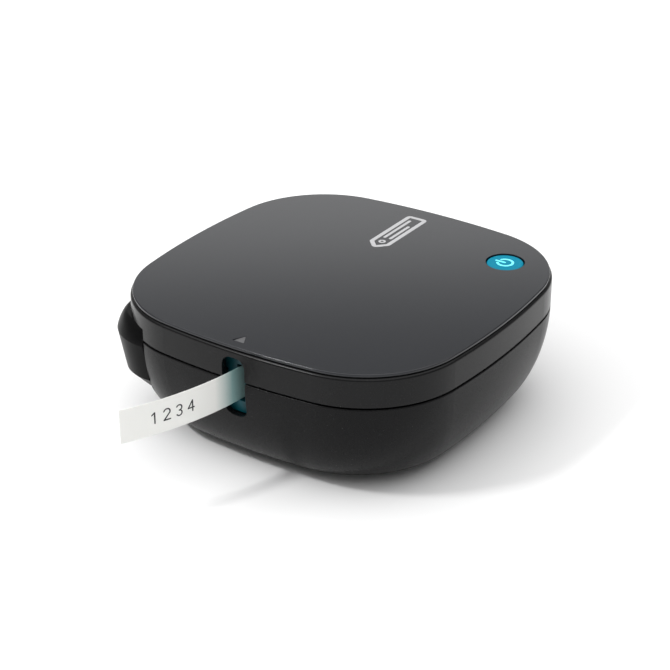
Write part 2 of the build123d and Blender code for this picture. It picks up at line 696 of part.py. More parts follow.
with BuildPart() as idler_gear:
    extrude(gear_face(0, idler_large_teeth, motor_angle), amount=gear_width)
    extrude(gear_face(gear_width, idler_small_teeth, idler_angle + 180 + 180 / idler_small_teeth), amount=2.0)
    Cylinder(axle_radius + run_gap, 10, mode=Mode.SUBTRACT)
idler_gear.part.locate(Location((idler_x, idler_y, large_gear_z)))
idler_gear.part.label = "idler_gear"
export_step(idler_gear.part, "parts/idler_gear.step")

with BuildPart() as motor_pinion:
    extrude(gear_face(0, pinion_teeth, motor_angle + 180 + 180 / pinion_teeth), amount=2.4)
    Cylinder(rotor_shaft, 10, mode=Mode.SUBTRACT)
motor_pinion.part.locate(Location((motor_x, motor_y, large_gear_z - 0.3)))
motor_pinion.part.label = "motor_pinion"
export_step(motor_pinion.part, "parts/motor_pinion.step")

with BuildPart() as motor_shaft:
    rod(motor_x, motor_y, (gear_plate_z - 6, large_gear_z + 2.6), rotor_shaft)
motor_shaft.part.label = "motor_shaft"
export_step(motor_shaft.part, "parts/motor_shaft.step")

with BuildPart() as motor_can:
    rod(motor_x, motor_y, (gear_plate_z - motor_length, gear_plate_z), motor_radius)
    fillet(motor_can.edges().group_by(Axis.Z)[0], 0.8)
    rod(motor_x, motor_y, (gear_plate_z, gear_plate_z + 0.6), 2.0)
    rod(motor_x, motor_y, (gear_plate_z - motor_length - 1, gear_plate_z - motor_length), 1.6)
    rod(motor_x, motor_y, (gear_plate_z - 6, gear_plate_z + 1), rotor_shaft + run_gap, mode=Mode.SUBTRACT)
motor_can.part.label = "motor"
export_step(motor_can.part, "parts/motor.step")

with BuildPart() as idler_axle:
    rod(idler_x, idler_y, (gear_plate_z, deck_top), axle_radius)
idler_axle.part.label = "idler_axle"
export_step(idler_axle.part, "parts/idler_axle.step")

with BuildPart() as gear_plate:
    block((platen_x - 8.0, platen_x + 10.5), (plate_front, plate_back), (gear_plate_z, gear_plate_top))
    fillet(gear_plate.edges().filter_by(Axis.Z), 2.0)
    rod(motor_x, motor_y, (gear_plate_z, gear_plate_top), 2.0, mode=Mode.SUBTRACT)
    rod(idler_x, idler_y, (gear_plate_z, gear_plate_top), axle_radius, mode=Mode.SUBTRACT)
    for x, y in plate_posts:
        rod(x, y, (gear_plate_z, gear_plate_top), plate_screw, mode=Mode.SUBTRACT)
gear_plate.part.label = "gear_plate"
export_step(gear_plate.part, "parts/gear_plate.step")

with BuildPart() as gear_plate_screws:
    for x, y in plate_posts:
        rod(x, y, (gear_plate_z - 1.2, gear_plate_z), 1.5)
        rod(x, y, (gear_plate_z, deck_z - 0.5), plate_screw)
gear_plate_screws.part.label = "gear_plate_screws"
export_step(gear_plate_screws.part, "parts/gear_plate_screws.step")

# ---------------------------------------------------------------- cutter

pad_top = corner_window_top - 0.3
pad_reach = swing_radius - swing_gap


def pad_section(z, inset, margin):
    """Plan of the pad: straight left and back faces joined by one large corner."""
    left, back = pad_left_x + inset + margin, pad_back_y - inset - margin
    front = pad_front_y + margin
    right = pad_right_x + (4 if margin else 0)
    corner = pad_corner - inset - margin
    slack = corner * (1 - sqrt(0.5))
    with BuildSketch(Plane.XY.offset(z)) as section:
        with BuildLine():
            Polyline((left, back - corner), (left, front), (right, front), (right, back),
                     (left + corner, back))
            ThreePointArc((left, back - corner), (left + slack, back - slack), (left + corner, back))
        make_face()
    return section.sketch.face()


def pad_levels(foot_z, margin):
    """Chamfer and slanted face, from the foot up to the widest level."""
    rise = (foot_z - pad_foot_z) / (pad_slant_z - pad_foot_z)
    foot_inset = pad_foot_inset + (pad_slant_inset - pad_foot_inset) * rise
    levels = ((foot_z, foot_inset), (pad_slant_z, pad_slant_inset), (pad_crease_z, 0))
    return [pad_section(z, inset, margin) for z, inset in levels]


def shoulder_levels(margin):
    """Leaning quarter ellipse from the widest level up to the top."""
    sections = []
    for step in range(5):
        angle = radians(step * 20)
        z = pad_crease_z + (pad_top - pad_crease_z - margin) * sin(angle)
        inset = pad_shoulder_round * (1 - cos(angle)) + pad_shoulder_lean * sin(angle)
        sections.append(pad_section(z, inset, margin))
    return sections


with BuildPart() as cutter_button:
    loft(pad_levels(pad_foot_z, 0), ruled=True)
    loft(shoulder_levels(0))
    loft(pad_levels(pad_foot_z + 2.1, pad_wall), ruled=True, mode=Mode.SUBTRACT)
    loft(shoulder_levels(pad_wall), mode=Mode.SUBTRACT)
    with Locations((pivot_x, pivot_y, total_height / 2)):
        Cylinder(pad_reach, total_height, mode=Mode.INTERSECT)
    # The upper front corner follows the rounded corner of the window.
    with BuildSketch(Plane.YZ.offset(-outside)) as window_side:
        with Locations((pad_front_y + 20, pad_top - 20)):
            Rectangle(40, 40)
        fillet(window_side.vertices().group_by(Axis.Y)[-1].sort_by(Axis.X)[0], window_corner)
    extrude(amount=body_half, mode=Mode.INTERSECT)
    # Lugs above and below the chassis tongue.
    for levels in ((deck_z - 1.6, deck_z - 0.3), (deck_top + 0.3, deck_top + 7.8)):
        rod(pivot_x, pivot_y, levels, lug_radius)
        block((pivot_x - lug_radius, pivot_x + lug_radius), (pivot_y, pad_front_y + pad_wall / 2), levels)
        rod(pivot_x, pivot_y, levels, pivot_radius + run_gap, mode=Mode.SUBTRACT)
cutter_button.part.label = "cutter_button"
export_step(cutter_button.part, "parts/cutter_button.step")

with BuildPart() as cutter_pivot:
    rod(pivot_x, pivot_y, (deck_z - 1.9, deck_top + 8.2), pivot_radius)
cutter_pivot.part.label = "cutter_pivot"
export_step(cutter_pivot.part, "parts/cutter_pivot.step")

blade_front_y = tape_line_y + cutter_stroke + 0.5

with BuildPart() as cutter_blade:
    with BuildSketch(Plane.XY.offset(tape_z - 0.6)):
        with BuildLine():
            Polyline((blade_x, blade_front_y), (blade_x + 0.6, blade_front_y + 1.4), (blade_x + 0.6, 20),
                     (blade_x, 20), close=True)
        make_face()
    extrude(amount=tape_width + 1.6)
cutter_blade.part.label = "cutter_blade"
export_step(cutter_blade.part, "parts/cutter_blade.step")

arm_back_y = pad_front_y - 0.1 - nose_radius
bar_x = (pivot_x + lug_radius + 0.7, pivot_x + lug_radius + 0.7 + carriage_wall)
carriage_z = (deck_top + 0.4, tape_top - 0.4)

with BuildPart() as cutter_carriage:
    block((blade_x + 0.6, blade_x + 2.7), (blade_front_y + 3, carriage_back), carriage_z)
    block((blade_x + 0.6, bar_x[1]), (carriage_back - carriage_wall, carriage_back), carriage_z)
    block(bar_x, (carriage_back - carriage_wall, arm_back_y), carriage_z)
    block((bar_x[0], nose_x), (arm_back_y - 2.0, arm_back_y), carriage_z)
    rod(nose_x, arm_back_y, carriage_z, nose_radius)
cutter_carriage.part.label = "cutter_carriage"
export_step(cutter_carriage.part, "parts/cutter_carriage.step")

with BuildPart() as cutter_anvil:
    block((blade_x + 0.8, blade_x + 2.4), (-4.5, tape_line_y - 0.3), (deck_top, tape_top + 1.0))
cutter_anvil.part.label = "cutter_anvil"
export_step(cutter_anvil.part, "parts/cutter_anvil.step")

with BuildPart() as cutter_spring:
    seat = Plane(origin=(spring_x, spring_seat_y, tape_z + 4), z_dir=(0, 1, 0))
    add(coil(3.0, 0.35, arm_back_y - 2.0 - spring_seat_y, 8, seat))
cutter_spring.part.label = "cutter_spring"
export_step(cutter_spring.part, "parts/cutter_spring.step")

# ---------------------------------------------------------------- batteries and boards

board_back_y = bay_half_y + tray_wall - 0.6
board_posts = [(x, y) for x in (board_left_x + 3, bay_half_x - 2)
               for y in (3 - board_back_y, board_back_y - 3)]

with BuildPart() as battery_tray:
    block((-bay_half_x - tray_wall, bay_half_x + tray_wall),
          (-bay_half_y - tray_wall, bay_half_y + tray_wall), (floor_top, tray_top))
    block((-bay_half_x, bay_half_x), (-bay_half_y, bay_half_y), (floor_top - 1, tray_top - tray_roof),
          Mode.SUBTRACT)
    for x, y in board_posts:
        rod(x, y, (tray_top, board_z), 2.2)
        rod(x, y, (board_z - 1.9, board_z), board_screw, mode=Mode.SUBTRACT)
battery_tray.part.label = "battery_tray"
export_step(battery_tray.part, "parts/battery_tray.step")

cell_z = floor_top + 0.4 + cell_radius
cell_xs = [cell_pitch * (i - (cell_count - 1) / 2) for i in range(cell_count)]
for index, x in enumerate(cell_xs):
    way = 1 if index % 2 == 0 else -1
    tip_y = bay_half_y - contact_thick
    with BuildPart() as battery:
        jacket = sorted((way * (tip_y - nub_length), way * (tip_y - nub_length - cell_length)))
        rod_y(x, jacket, cell_z, cell_radius)
        fillet(battery.edges(), 0.5)
        rod_y(x, sorted((way * (tip_y - nub_length - 1), way * tip_y)), cell_z, nub_radius)
    battery.part.label = f"battery_{index + 1}"
    export_step(battery.part, f"parts/battery_{index + 1}.step")

with BuildPart() as battery_contacts:
    for x in cell_xs:
        for end in (-1, 1):
            span = sorted((end * bay_half_y, end * (bay_half_y - contact_thick)))
            block((x - cell_radius + 0.7, x + cell_radius - 0.7), span,
                  (cell_z - cell_radius + 1.7, cell_z + cell_radius - 1.7))
battery_contacts.part.label = "battery_contacts"
export_step(battery_contacts.part, "parts/battery_contacts.step")

with BuildPart() as contact_springs:
    for index, x in enumerate(cell_xs):
        way = -1 if index % 2 == 0 else 1
        seat = Plane(origin=(x, way * (bay_half_y - contact_thick), cell_z), z_dir=(0, -way, 0))
        add(coil(3.4, 0.4, spring_length, 3, seat))
contact_springs.part.label = "contact_springs"
export_step(contact_springs.part, "parts/contact_springs.step")

with BuildPart() as battery_door:
    edge_y = bay_half_y - door_gap
    half_x = bay_half_x - door_gap
    block((-half_x, half_x), (door_axis_y, edge_y), (door_mid - door_thick / 2, door_mid + door_thick / 2))
    rod_x((-half_x, half_x), door_axis_y, door_mid, door_thick / 2)
    rod_x((-half_x - 1.2, half_x + 1.2), door_axis_y, door_mid, trunnion_radius)
    block((-7, 7), (edge_y - 6, edge_y - 2), (floor_z - 1, floor_z + 0.9), Mode.SUBTRACT)
battery_door.part.label = "battery_door"
export_step(battery_door.part, "parts/battery_door.step")

with BuildPart() as main_board:
    block((board_left_x, board_right_x), (-board_back_y, board_back_y), (board_z, board_z + board_thickness))
    for x, y in board_posts:
        rod(x, y, (board_z - 1, board_z + 2), board_screw + 0.2, mode=Mode.SUBTRACT)
main_board.part.label = "main_board"
export_step(main_board.part, "parts/main_board.step")

with BuildPart() as board_screws:
    for x, y in board_posts:
        rod(x, y, (board_z - 1.8, board_z + board_thickness), board_screw)
        rod(x, y, (board_z + board_thickness, board_z + board_thickness + 0.9), 1.9)
        block((x - 1.3, x + 1.3), (y - 0.25, y + 0.25),
              (board_z + board_thickness + 0.4, board_z + board_thickness + 1), Mode.SUBTRACT)
board_screws.part.label = "board_screws"
export_step(board_screws.part, "parts/board_screws.step")

with BuildPart() as board_chips:
    top = board_z + board_thickness
    block((-14, -4), (-6, 4), (top, top + 1.2))
    block((4, 10), (-16, -10), (top, top + 1.0))
    block((14, 19), (2, 6), (top, top + 1.1))
    for step in range(6):
        block((-18 + 5 * step, -16 + 5 * step), (14, 15.2), (top, top + 0.7))
    block((-24.5, -18), (-20, -12), (top, top + 1.3))
board_chips.part.label = "board_chips"
export_step(board_chips.part, "parts/board_chips.step")

with BuildPart() as radio_module:
    block((24, 42), (8, 22), (top, top + 0.6))
    block((25, 37), (9, 21), (top + 0.6, top + 1.5))
radio_module.part.label = "radio_module"
export_step(radio_module.part, "parts/radio_module.step")
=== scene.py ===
import bpy
import math
import numpy as np
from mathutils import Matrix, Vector


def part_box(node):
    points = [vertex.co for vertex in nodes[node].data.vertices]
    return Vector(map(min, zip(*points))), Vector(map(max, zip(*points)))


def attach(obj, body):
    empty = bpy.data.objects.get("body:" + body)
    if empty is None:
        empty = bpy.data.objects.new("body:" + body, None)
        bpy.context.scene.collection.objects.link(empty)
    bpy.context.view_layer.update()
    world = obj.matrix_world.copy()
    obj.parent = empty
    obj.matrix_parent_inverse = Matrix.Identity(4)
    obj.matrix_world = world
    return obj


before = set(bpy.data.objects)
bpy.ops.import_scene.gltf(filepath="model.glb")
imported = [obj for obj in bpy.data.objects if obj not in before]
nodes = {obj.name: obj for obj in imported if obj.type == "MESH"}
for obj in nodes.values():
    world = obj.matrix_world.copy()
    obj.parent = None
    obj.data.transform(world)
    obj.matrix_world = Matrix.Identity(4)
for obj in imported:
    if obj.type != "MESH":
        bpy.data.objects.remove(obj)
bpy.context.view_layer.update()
print("frame loaded,", len(nodes), "nodes")

mm = 0.001
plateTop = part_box("top_plate")[1].z
lidLow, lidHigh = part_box("lid_shell")
caseLeft = lidLow.x                             # left wall of the case
caseMiddleX = (lidLow.x + lidHigh.x) / 2
keyLow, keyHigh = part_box("power_button")
keyX = (keyLow.x + keyHigh.x) / 2
keyY = (keyLow.y + keyHigh.y) / 2


# helpers for materials

def newMaterial(name, colour, roughness, metallic=0.0, ior=1.45):
    material = bpy.data.materials.new(name)
    material.use_nodes = True
    shader = material.node_tree.nodes["Principled BSDF"]
    shader.inputs["Base Color"].default_value = (*colour, 1)
    shader.inputs["Roughness"].default_value = roughness
    shader.inputs["Metallic"].default_value = metallic
    shader.inputs["IOR"].default_value = ior
    return material, material.node_tree, shader


def addNode(tree, kind, **values):
    node = tree.nodes.new(kind)
    for key, value in values.items():
        if key in node.inputs:
            node.inputs[key].default_value = value
        else:
            setattr(node, key, value)
    return node


def objectPlace(tree, move=(0, 0, 0), stretch=(1, 1, 1)):
    place = tree.nodes.new("ShaderNodeTexCoord")
    mapping = tree.nodes.new("ShaderNodeMapping")
    mapping.inputs["Location"].default_value = move
    mapping.inputs["Scale"].default_value = stretch
    tree.links.new(place.outputs["Object"], mapping.inputs["Vector"])
    return mapping.outputs["Vector"]


def objectNoise(tree, scale, detail=3.0, stretch=(1, 1, 1)):
    noise = addNode(tree, "ShaderNodeTexNoise", Scale=scale, Detail=detail)
    tree.links.new(objectPlace(tree, stretch=stretch), noise.inputs["Vector"])
    return noise.outputs["Fac"]


def colourRamp(tree, factor, stops):
    ramp = tree.nodes.new("ShaderNodeValToRGB")
    points = ramp.color_ramp.elements
    while len(points) < len(stops):
        points.new(0.5)
    for point, (position, colour) in zip(points, stops):
        point.position = position
        point.color = (*colour, 1)
    tree.links.new(factor, ramp.inputs["Fac"])
    return ramp.outputs["Color"]


def bumpFrom(tree, shader, height, strength, distance):
    bump = addNode(tree, "ShaderNodeBump", Strength=strength, Distance=distance)
    tree.links.new(height, bump.inputs["Height"])
    tree.links.new(bump.outputs["Normal"], shader.inputs["Normal"])


def spreadOver(tree, factor, low, high, start=0.0, end=1.0):
    spread = addNode(tree, "ShaderNodeMapRange")
    spread.inputs["From Min"].default_value = start
    spread.inputs["From Max"].default_value = end
    spread.inputs["To Min"].default_value = low
    spread.inputs["To Max"].default_value = high
    tree.links.new(factor, spread.inputs["Value"])
    return spread.outputs["Result"]


def axisOf(tree, axis):
    split = tree.nodes.new("ShaderNodeSeparateXYZ")
    tree.links.new(objectPlace(tree), split.inputs["Vector"])
    return split.outputs[axis]


# Moulded plastic: fine spark-eroded grain, with a slow drift of colour and gloss.
plasticLook = {"driftScale": 35.0, "driftFrom": 0.35, "driftTo": 0.65, "grainDepth": 0.04 * mm}


def mouldedPlastic(name, colour, roughness, grain=2600.0, bump=0.25, shift=0.12, ior=1.45, gloss=0.05):
    material, tree, shader = newMaterial(name, colour, roughness, ior=ior)
    lighter = [c * (1 + shift) for c in colour]
    darker = [c * (1 - shift) for c in colour]
    drift = objectNoise(tree, plasticLook["driftScale"])
    stops = ((plasticLook["driftFrom"], darker), (plasticLook["driftTo"], lighter))
    tree.links.new(colourRamp(tree, drift, stops), shader.inputs["Base Color"])
    fine = objectNoise(tree, grain, detail=2.0)
    tree.links.new(spreadOver(tree, fine, roughness - gloss, roughness + gloss), shader.inputs["Roughness"])
    bumpFrom(tree, shader, fine, bump, plasticLook["grainDepth"])
    return material


# Metal: drawn or ground lines along one direction.
metalLook = {"shade": 0.8, "smoother": 0.08, "rougher": 0.1, "lineDepth": 0.02 * mm}


def metal(name, colour, roughness, stretch=(1, 1, 12), scale=700.0, bump=0.15):
    material, tree, shader = newMaterial(name, colour, roughness, 1.0)
    lines = objectNoise(tree, scale, detail=4.0, stretch=stretch)
    darker = [c * metalLook["shade"] for c in colour]
    tree.links.new(colourRamp(tree, lines, ((0.3, darker), (0.7, colour))), shader.inputs["Base Color"])
    gloss = spreadOver(tree, lines, roughness - metalLook["smoother"], roughness + metalLook["rougher"])
    tree.links.new(gloss, shader.inputs["Roughness"])
    bumpFrom(tree, shader, lines, bump, metalLook["lineDepth"])
    return material


# Label tape: warm white paper face; towards the mouth of the slot its colour darkens to teal grey, which is
# painted shade and painted reflection of the teal slot.
tapeLook = {"paper": (0.9, 0.9, 0.87), "paintedMouthShade": (0.26, 0.42, 0.41), "darkAt": 0.5 * mm, "clearAt": 8.0 * mm,
            "wobble": 0.05, "fibreScale": 900.0, "grainScale": 5000.0}


def labelPaper():
    material, tree, shader = newMaterial("tapePaper", tapeLook["paper"], 0.5)
    along = axisOf(tree, "X")
    # painted shade: full paper colour well outside the slot, fading to the teal grey shade colour just inside
    # it
    shade = spreadOver(tree, along, 1.0, 0.0, caseLeft - tapeLook["clearAt"], caseLeft + tapeLook["darkAt"])
    fibre = objectNoise(tree, tapeLook["fibreScale"])
    wobble = addNode(tree, "ShaderNodeMath", operation="MULTIPLY_ADD")
    wobble.inputs[1].default_value = tapeLook["wobble"]
    tree.links.new(fibre, wobble.inputs[0])
    tree.links.new(shade, wobble.inputs[2])
    # a tint halfway between the paper and the painted shade colour
    middle = [(a + b) / 2 for a, b in zip(tapeLook["paper"], tapeLook["paintedMouthShade"])]
    ends = ((0.05, tapeLook["paintedMouthShade"]), (0.45, middle), (0.95, tapeLook["paper"]))
    tree.links.new(colourRamp(tree, wobble.outputs[0], ends), shader.inputs["Base Color"])
    bumpFrom(tree, shader, objectNoise(tree, tapeLook["grainScale"]), 0.06, 0.02 * mm)
    return material


# Wound tape: rings about the roll's axis, seen on its two flat ends.
rollLook = {"paper": (0.78, 0.78, 0.75), "gap": (0.5, 0.5, 0.47), "edge": (0.8, 0.8, 0.77),
            "ringScale": 900.0}


def woundPaper():
    low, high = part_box("tape_roll")
    material, tree, shader = newMaterial("tapeRollPaper", rollLook["paper"], 0.6)
    wave = addNode(tree, "ShaderNodeTexWave", wave_type="RINGS", rings_direction="Z",
                   Scale=rollLook["ringScale"], Distortion=0.6)
    centre = (-(low.x + high.x) / 2, -(low.y + high.y) / 2, 0)
    tree.links.new(objectPlace(tree, move=centre, stretch=(1, 1, 0)), wave.inputs["Vector"])
    rings = ((0.1, rollLook["gap"]), (0.6, rollLook["edge"]))
    tree.links.new(colourRamp(tree, wave.outputs["Fac"], rings), shader.inputs["Base Color"])
    bumpFrom(tree, shader, wave.outputs["Fac"], 0.3, 0.05 * mm)
    return material


# Circuit board: green mask over tracks, which show as paler squares and lines.
boardLook = {"mask": (0.01, 0.12, 0.05), "patchDark": (0.008, 0.1, 0.04), "patchLight": (0.012, 0.13, 0.05),
             "track": (0.05, 0.28, 0.12), "trackWidth": 0.06, "patchScale": 260.0}


def circuitBoard():
    material, tree, shader = newMaterial("boardMask", boardLook["mask"], 0.3)
    tracks = addNode(tree, "ShaderNodeTexBrick", Scale=boardLook["patchScale"])
    tracks.inputs["Color1"].default_value = (*boardLook["patchDark"], 1)
    tracks.inputs["Color2"].default_value = (*boardLook["patchLight"], 1)
    tracks.inputs["Mortar"].default_value = (*boardLook["track"], 1)
    tracks.inputs["Mortar Size"].default_value = boardLook["trackWidth"]
    tree.links.new(objectPlace(tree), tracks.inputs["Vector"])
    tree.links.new(tracks.outputs["Color"], shader.inputs["Base Color"])
    bumpFrom(tree, shader, tracks.outputs["Fac"], 0.2, 0.03 * mm)
    return material


# Cell jacket: black film with one coloured end, next to the positive tip.
cellLook = {"film": (0.012, 0.012, 0.014), "band": (0.45, 0.2, 0.05), "bare": (0.6, 0.6, 0.6),
            "bandShare": 0.22, "baseShare": 0.012, "tipLength": 1.8 * mm}


def cellJacket(name, tipAtBack):
    low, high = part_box(name)
    material, tree, shader = newMaterial(name + "Jacket", cellLook["film"], 0.25)
    shader.inputs["Metallic"].default_value = 0.6
    start, end = (low.y, high.y) if tipAtBack else (high.y, low.y)
    along = spreadOver(tree, axisOf(tree, "Y"), 0.0, 1.0, start, end)
    tip = 1 - cellLook["tipLength"] / (high.y - low.y)
    band = 1 - cellLook["bandShare"]
    stops = ((0.0, cellLook["bare"]), (cellLook["baseShare"], cellLook["film"]), (band, cellLook["band"]),
             (tip, cellLook["bare"]))
    colours = colourRamp(tree, along, stops)
    colours.node.color_ramp.interpolation = "CONSTANT"
    tree.links.new(colours, shader.inputs["Base Color"])
    bumpFrom(tree, shader, objectNoise(tree, 400.0), 0.08, 0.04 * mm)
    return material


def paint(material, *names):
    for name in names:
        mesh = nodes[name].data
        mesh.materials.clear()
        mesh.materials.append(material)


caseBlack = mouldedPlastic("caseBlack", (0.0055, 0.0055, 0.0058), 0.26, bump=0.06, ior=1.28)
# darker copy of the case black for the base and battery door: painted shade on the downward-facing lower body
shadedBowlBlack = mouldedPlastic("shadedBowlBlack", (0.0036, 0.0036, 0.0039), 0.28, bump=0.06, ior=1.23)
padBlack = mouldedPlastic("padBlack", (0.004, 0.004, 0.0042), 0.34, bump=0.1, ior=1.14)
plateGloss = mouldedPlastic("plateGloss", (0.0108, 0.0122, 0.0155), 0.17, grain=6000.0, bump=0.004,
                            shift=0.04, gloss=0.015)
chassisTeal = mouldedPlastic("chassisTeal", (0.001, 0.055, 0.07), 0.38, ior=1.35)
buttonTeal = mouldedPlastic("buttonTeal", (0.0, 0.215, 0.33), 0.35, grain=3000.0, bump=0.05, shift=0.03,
                            ior=1.1)
footRubber = mouldedPlastic("footRubber", (0.012, 0.012, 0.012), 0.8, grain=1500.0)
rollerRubber = mouldedPlastic("rollerRubber", (0.02, 0.02, 0.021), 0.7, grain=4000.0)
cassetteGrey = mouldedPlastic("cassetteGrey", (0.42, 0.44, 0.45), 0.42)
coreGrey = mouldedPlastic("coreGrey", (0.25, 0.26, 0.27), 0.45)
ceramicWhite = mouldedPlastic("ceramicWhite", (0.7, 0.67, 0.6), 0.2, grain=5000.0, bump=0.05)
partBlack = mouldedPlastic("partBlack", (0.015, 0.015, 0.015), 0.45)
gearWhite = mouldedPlastic("gearWhite", (0.72, 0.71, 0.66), 0.35, grain=3500.0, bump=0.1)
boardMask = circuitBoard()
brightSteel = metal("brightSteel", (0.62, 0.62, 0.62), 0.25)
springSteel = metal("springSteel", (0.55, 0.55, 0.56), 0.3, stretch=(1, 1, 1), scale=3000.0)
plateSteel = metal("plateSteel", (0.52, 0.53, 0.55), 0.38, stretch=(1, 14, 1))
motorSteel = metal("motorSteel", (0.5, 0.5, 0.51), 0.32, stretch=(1, 1, 0.1))
bladeSteel = metal("bladeSteel", (0.66, 0.67, 0.7), 0.18, stretch=(1, 20, 1))
screwSteel = metal("screwSteel", (0.16, 0.16, 0.17), 0.35, stretch=(1, 1, 1), scale=1800.0)
nickel = metal("contactNickel", (0.72, 0.69, 0.64), 0.22, stretch=(12, 1, 1))
tinShield = metal("tinShield", (0.62, 0.63, 0.64), 0.33, stretch=(6, 1, 1))
aluminium = metal("sinkAluminium", (0.7, 0.7, 0.72), 0.35, stretch=(10, 1, 1))
brass = metal("pinionBrass", (0.72, 0.52, 0.22), 0.28, stretch=(1, 1, 0.2))
bronze = metal("bushingBronze", (0.5, 0.33, 0.16), 0.45, stretch=(1, 1, 1), scale=4000.0, bump=0.4)

paint(caseBlack, "lid_shell")
paint(shadedBowlBlack, "base_shell", "battery_door")
paint(padBlack, "cutter_button")
paint(plateGloss, "top_plate")
paint(chassisTeal, "inner_chassis", "button_cup", "cutter_carriage")
paint(buttonTeal, "power_button")
paint(labelPaper(), "label_tape")
paint(woundPaper(), "tape_roll")
paint(footRubber, "rubber_feet")
paint(rollerRubber, "platen_roller")
paint(cassetteGrey, "cassette_base", "cassette_cover")
paint(coreGrey, "roll_core")
paint(ceramicWhite, "print_head")
paint(partBlack, "battery_tray", "tact_switch", "board_chips")
paint(gearWhite, "platen_gear", "idler_gear")
paint(boardMask, "main_board", "switch_board")
paint(brightSteel, "hinge_pin", "platen_shaft", "motor_shaft", "idler_axle", "cutter_pivot")
paint(springSteel, "button_spring", "cutter_spring")
paint(nickel, "contact_springs", "battery_contacts")
paint(plateSteel, "gear_plate")
paint(motorSteel, "motor")
paint(bladeSteel, "cutter_blade", "cutter_anvil")
paint(screwSteel, "case_screws", "gear_plate_screws", "board_screws")
paint(tinShield, "radio_module")
paint(aluminium, "heat_sink")
paint(brass, "motor_pinion")
paint(bronze, "platen_bushings")
for number in range(1, 5):
    paint(cellJacket("battery_" + str(number), number % 2 == 1), "battery_" + str(number))
print("node materials done")


# small pieces: marks that stand just proud of a surface

# A stroke is a band with round ends along a plane path: each station of the path gives two
# edge points, half the width to each side, and the round ends narrow as a circle does.
def strokeEdges(path, width, closed):
    path = np.asarray(path, dtype=float)
    if closed:
        along = np.roll(path, -1, 0) - np.roll(path, 1, 0)
    else:
        along = np.gradient(path, axis=0)
    along /= np.linalg.norm(along, axis=1, keepdims=True)
    half = np.full(len(path), width / 2)
    if not closed:
        turn = np.linspace(0, math.pi / 2, 6)[1:]
        reach = np.sin(turn)[:, None] * width / 2
        thin = np.maximum(np.cos(turn), 0.02) * width / 2
        path = np.concatenate(((path[0] - along[0] * reach)[::-1], path, path[-1] + along[-1] * reach))
        half = np.concatenate((thin[::-1], half, thin))
        ends = np.ones((len(turn), 1))
        along = np.concatenate((ends * along[0], along, ends * along[-1]))
    side = np.stack((-along[:, 1], along[:, 0]), 1) * half[:, None]
    return path + side, path - side


# Four corners of the band's section at each station, from sunk to proud of the surface,
# joined into quads all the way round the band.
def strokeMesh(path, width, surface, closed=False, proud=0.05 * mm, sunk=0.02 * mm):
    left, right = strokeEdges(path, width, closed)
    corners = [surface(edge[:, 0], edge[:, 1], height)
               for edge, height in ((left, -sunk), (right, -sunk), (right, proud), (left, proud))]
    points = np.stack(corners, 1).reshape(-1, 3)
    stations = len(left)
    rows = np.arange(stations if closed else stations - 1)
    after = (rows + 1) % stations
    faces = []
    for corner in range(4):
        beside = (corner + 1) % 4
        quads = (rows * 4 + corner, rows * 4 + beside, after * 4 + beside, after * 4 + corner)
        faces.append(np.stack(quads, 1))
    faces = np.concatenate(faces)
    if not closed:
        last = 4 * (stations - 1)
        faces = np.concatenate((faces, [[3, 2, 1, 0], [last, last + 1, last + 2, last + 3]]))
    return points, faces


def buildPiece(name, parts, material, body):
    points, faces, count = [], [], 0
    for partPoints, partFaces in parts:
        points.append(partPoints)
        faces.append(np.asarray(partFaces) + count)
        count += len(partPoints)
    mesh = bpy.data.meshes.new(name)
    mesh.from_pydata(np.concatenate(points).tolist(), [], np.concatenate(faces).tolist())
    mesh.validate()
    mesh.materials.append(material)
    piece = bpy.data.objects.new(name, mesh)
    bpy.context.scene.collection.objects.link(piece)
    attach(piece, body)
    return piece


# Path through the corners with each corner cut by an arc of the given radius.
def roundedPath(corners, radius, steps=7):
    corners = np.asarray(corners, dtype=float)
    path = []
    for before, corner, after in zip(np.roll(corners, 1, 0), corners, np.roll(corners, -1, 0)):
        back = (before - corner) / np.linalg.norm(before - corner)
        on = (after - corner) / np.linalg.norm(after - corner)
        halfAngle = math.acos(np.clip(back @ on, -1, 1)) / 2
        reach = radius / math.tan(halfAngle)
        centre = corner + (back + on) / np.linalg.norm(back + on) * radius / math.sin(halfAngle)
        first = corner + back * reach - centre
        second = corner + on * reach - centre
        share = np.linspace(0, 1, steps)[:, None]
        arc = first * (1 - share) + second * share
        path.append(centre + arc / np.linalg.norm(arc, axis=1, keepdims=True) * radius)
    return np.concatenate(path)


def arcPath(centre, radius, start, end, steps=36):
    angles = np.radians(np.linspace(start, end, steps))
    return np.stack((centre[0] + radius * np.cos(angles), centre[1] + radius * np.sin(angles)), 1)


def linePath(start, end, steps=8):
    share = np.linspace(0, 1, steps)[:, None]
    return np.array(start) * (1 - share) + np.array(end) * share


def plateSurface(u, v, height):
    return np.stack((u, v, np.full_like(u, plateTop + height)), 1)


def keySurface(u, v, height):
    return np.stack((u, v, np.full_like(u, keyHigh.z + height)), 1)


markGrey, markTree, markShader = newMaterial("markGrey", (0.46, 0.46, 0.47), 0.5)
bumpFrom(markTree, markShader, objectNoise(markTree, 6000.0), 0.1, 0.02 * mm)

# Tag pictogram on the plate: outline with a pointed end, a cord hole and two lines of writing.
emblem = {"left": caseMiddleX + 26.4 * mm, "right": caseMiddleX + 55.6 * mm,
          "front": 0.8 * mm, "back": 7.6 * mm, "point": 3.6 * mm, "stroke": 1.6 * mm, "corner": 0.9 * mm,
          "hole": 0.95 * mm, "holeInset": 1.5 * mm, "holeStroke": 0.8 * mm,
          "lineInset": 5.2 * mm, "lineApart": 1.2 * mm, "longEnd": 3.4 * mm, "shortEnd": 8.2 * mm,
          "lineStroke": 1.15 * mm}


